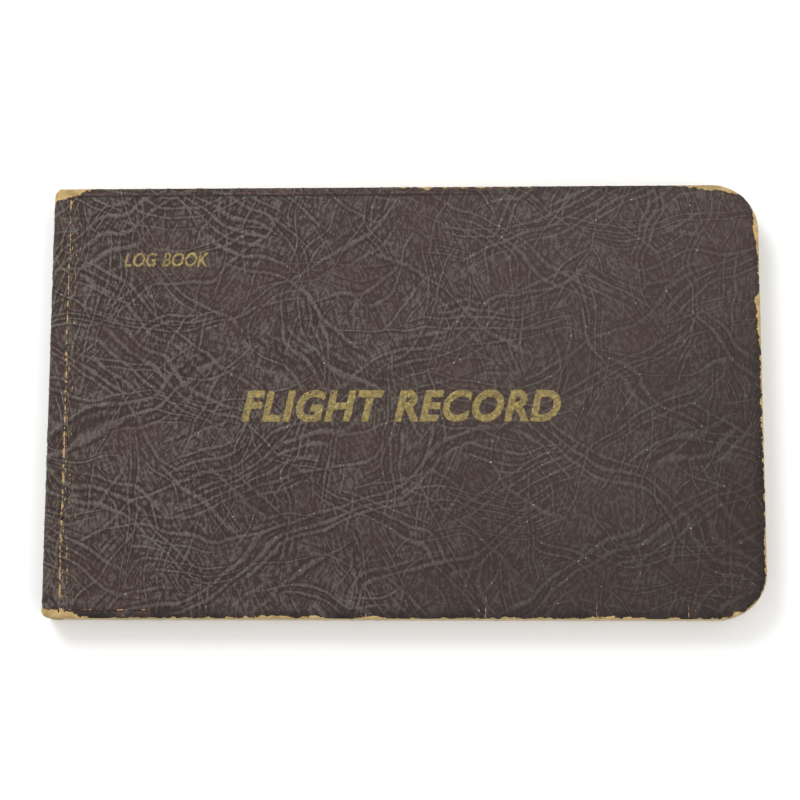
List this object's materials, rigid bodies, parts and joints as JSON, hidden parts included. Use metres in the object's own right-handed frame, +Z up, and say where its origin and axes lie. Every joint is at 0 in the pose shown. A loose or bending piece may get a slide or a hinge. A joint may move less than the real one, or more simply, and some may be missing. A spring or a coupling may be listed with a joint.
{
  "type": "pilot logbook",
  "caption": "Oblong flexible-cover logbook, side-stitched, with rounded fore-edge corners, a scored hinge crease, and covers and ruled leaves that turn.",
  "frame": {"origin": "centre of the closed book's bounding box, on the back cover's outer face", "axes": "+X from the spine to the fore edge, +Y from the tail to the head, +Z up through the closed book to the front cover"},
  "size_m": [0.216, 0.132, 0.0092],
  "materials": {
    "leatherette": "dark brown coated stock pressed with a crinkled grain",
    "tan_card": "dense tan card, uncoated",
    "lining_paper": "plain uncoated lining paper",
    "ledger_paper": "ruled ledger paper",
    "spine_cloth": "open-weave starched cloth",
    "binding_glue": "dried translucent glue",
    "stitch_wire": "tinned steel wire"
  },
  "bodies": {
    "block": {"spine_skin": "leatherette", "spine_board": "tan_card", "spine_cloth": "spine_cloth", "spine_glue": "binding_glue", "leaf_stubs": "ledger_paper", "staple_head": "stitch_wire", "staple_middle": "stitch_wire", "staple_tail": "stitch_wire"},
    "front_cover": {"front_skin": "leatherette", "front_board": "tan_card", "front_pastedown": "lining_paper"},
    "back_cover": {"back_skin": "leatherette", "back_board": "tan_card", "back_pastedown": "lining_paper"},
    "front_flyleaf_body": {"front_flyleaf": "lining_paper"},
    "title_leaf_body": {"title_leaf": "ledger_paper"},
    "log_leaves_01_body": {"log_leaves_01": "ledger_paper"},
    "log_leaves_02_body": {"log_leaves_02": "ledger_paper"},
    "log_leaves_03_body": {"log_leaves_03": "ledger_paper"},
    "log_leaves_04_body": {"log_leaves_04": "ledger_paper"},
    "log_leaves_05_body": {"log_leaves_05": "ledger_paper"},
    "log_leaves_06_body": {"log_leaves_06": "ledger_paper"},
    "log_leaves_07_body": {"log_leaves_07": "ledger_paper"},
    "log_leaves_08_body": {"log_leaves_08": "ledger_paper"},
    "log_leaves_09_body": {"log_leaves_09": "ledger_paper"},
    "log_leaves_10_body": {"log_leaves_10": "ledger_paper"},
    "log_leaves_11_body": {"log_leaves_11": "ledger_paper"},
    "log_leaves_12_body": {"log_leaves_12": "ledger_paper"},
    "log_leaves_13_body": {"log_leaves_13": "ledger_paper"},
    "log_leaves_14_body": {"log_leaves_14": "ledger_paper"},
    "endorsement_leaves_body": {"endorsement_leaves": "ledger_paper"},
    "back_flyleaf_body": {"back_flyleaf": "lining_paper"}
  },
  "joints": [
    {"name": "front_cover_hinge", "type": "hinge", "parent": "block", "child": "front_cover", "pos_m": [-0.1024, 0, 0.00949], "axis": [0, -1, 0], "range_deg": [0, 178]},
    {"name": "back_cover_hinge", "type": "hinge", "parent": "block", "child": "back_cover", "pos_m": [-0.1024, 0, -0.0003], "axis": [0, 1, 0], "range_deg": [0, 178]},
    {"name": "front_flyleaf_turn", "type": "hinge", "parent": "block", "child": "front_flyleaf_body", "pos_m": [-0.1024, 0, 0.00949], "axis": [0, -1, 0], "range_deg": [0, 178]},
    {"name": "title_leaf_turn", "type": "hinge", "parent": "block", "child": "title_leaf_body", "pos_m": [-0.1024, 0, 0.00949], "axis": [0, -1, 0], "range_deg": [0, 178]},
    {"name": "log_leaves_01_turn", "type": "hinge", "parent": "block", "child": "log_leaves_01_body", "pos_m": [-0.1024, 0, 0.00949], "axis": [0, -1, 0], "range_deg": [0, 178]},
    {"name": "log_leaves_02_turn", "type": "hinge", "parent": "block", "child": "log_leaves_02_body", "pos_m": [-0.1024, 0, 0.00949], "axis": [0, -1, 0], "range_deg": [0, 178]},
    {"name": "log_leaves_03_turn", "type": "hinge", "parent": "block", "child": "log_leaves_03_body", "pos_m": [-0.1024, 0, 0.00949], "axis": [0, -1, 0], "range_deg": [0, 178]},
    {"name": "log_leaves_04_turn", "type": "hinge", "parent": "block", "child": "log_leaves_04_body", "pos_m": [-0.1024, 0, 0.00949], "axis": [0, -1, 0], "range_deg": [0, 178]},
    {"name": "log_leaves_05_turn", "type": "hinge", "parent": "block", "child": "log_leaves_05_body", "pos_m": [-0.1024, 0, 0.00949], "axis": [0, -1, 0], "range_deg": [0, 178]},
    {"name": "log_leaves_06_turn", "type": "hinge", "parent": "block", "child": "log_leaves_06_body", "pos_m": [-0.1024, 0, 0.00949], "axis": [0, -1, 0], "range_deg": [0, 178]},
    {"name": "log_leaves_07_turn", "type": "hinge", "parent": "block", "child": "log_leaves_07_body", "pos_m": [-0.1024, 0, 0.00949], "axis": [0, -1, 0], "range_deg": [0, 178]},
    {"name": "log_leaves_08_turn", "type": "hinge", "parent": "block", "child": "log_leaves_08_body", "pos_m": [-0.1024, 0, 0.00949], "axis": [0, -1, 0], "range_deg": [0, 178]},
    {"name": "log_leaves_09_turn", "type": "hinge", "parent": "block", "child": "log_leaves_09_body", "pos_m": [-0.1024, 0, 0.00949], "axis": [0, -1, 0], "range_deg": [0, 178]},
    {"name": "log_leaves_10_turn", "type": "hinge", "parent": "block", "child": "log_leaves_10_body", "pos_m": [-0.1024, 0, 0.00949], "axis": [0, -1, 0], "range_deg": [0, 178]},
    {"name": "log_leaves_11_turn", "type": "hinge", "parent": "block", "child": "log_leaves_11_body", "pos_m": [-0.1024, 0, 0.00949], "axis": [0, -1, 0], "range_deg": [0, 178]},
    {"name": "log_leaves_12_turn", "type": "hinge", "parent": "block", "child": "log_leaves_12_body", "pos_m": [-0.1024, 0, 0.00949], "axis": [0, -1, 0], "range_deg": [0, 178]},
    {"name": "log_leaves_13_turn", "type": "hinge", "parent": "block", "child": "log_leaves_13_body", "pos_m": [-0.1024, 0, 0.00949], "axis": [0, -1, 0], "range_deg": [0, 178]},
    {"name": "log_leaves_14_turn", "type": "hinge", "parent": "block", "child": "log_leaves_14_body", "pos_m": [-0.1024, 0, 0.00949], "axis": [0, -1, 0], "range_deg": [0, 178]},
    {"name": "endorsement_leaves_turn", "type": "hinge", "parent": "block", "child": "endorsement_leaves_body", "pos_m": [-0.1024, 0, 0.00949], "axis": [0, -1, 0], "range_deg": [0, 178]},
    {"name": "back_flyleaf_turn", "type": "hinge", "parent": "block", "child": "back_flyleaf_body", "pos_m": [-0.1024, 0, 0.00949], "axis": [0, -1, 0], "range_deg": [0, 178]}
  ],
  "couplings": [
    {"joint": "front_flyleaf_turn", "follows": "front_cover_hinge", "ratio": 0.99},
    {"joint": "title_leaf_turn", "follows": "front_cover_hinge", "ratio": 0.985},
    {"joint": "log_leaves_01_turn", "follows": "front_cover_hinge", "ratio": 0.98},
    {"joint": "log_leaves_02_turn", "follows": "front_cover_hinge", "ratio": 0.975},
    {"joint": "log_leaves_03_turn", "follows": "front_cover_hinge", "ratio": 0.97},
    {"joint": "log_leaves_04_turn", "follows": "front_cover_hinge", "ratio": 0.96},
    {"joint": "log_leaves_05_turn", "follows": "front_cover_hinge", "ratio": 0.945},
    {"joint": "log_leaves_06_turn", "follows": "front_cover_hinge", "ratio": 0.92},
    {"joint": "log_leaves_07_turn", "follows": "front_cover_hinge", "ratio": 0.86},
    {"joint": "log_leaves_08_turn", "follows": "front_cover_hinge", "ratio": 0.74},
    {"joint": "log_leaves_09_turn", "follows": "front_cover_hinge", "ratio": 0.58},
    {"joint": "log_leaves_10_turn", "follows": "front_cover_hinge", "ratio": 0.42},
    {"joint": "log_leaves_11_turn", "follows": "front_cover_hinge", "ratio": 0.29},
    {"joint": "log_leaves_12_turn", "follows": "front_cover_hinge", "ratio": 0.2},
    {"joint": "log_leaves_13_turn", "follows": "front_cover_hinge", "ratio": 0.14},
    {"joint": "log_leaves_14_turn", "follows": "front_cover_hinge", "ratio": 0.1},
    {"joint": "endorsement_leaves_turn", "follows": "front_cover_hinge", "ratio": 0.07},
    {"joint": "back_flyleaf_turn", "follows": "front_cover_hinge", "ratio": 0.05}
  ]
}
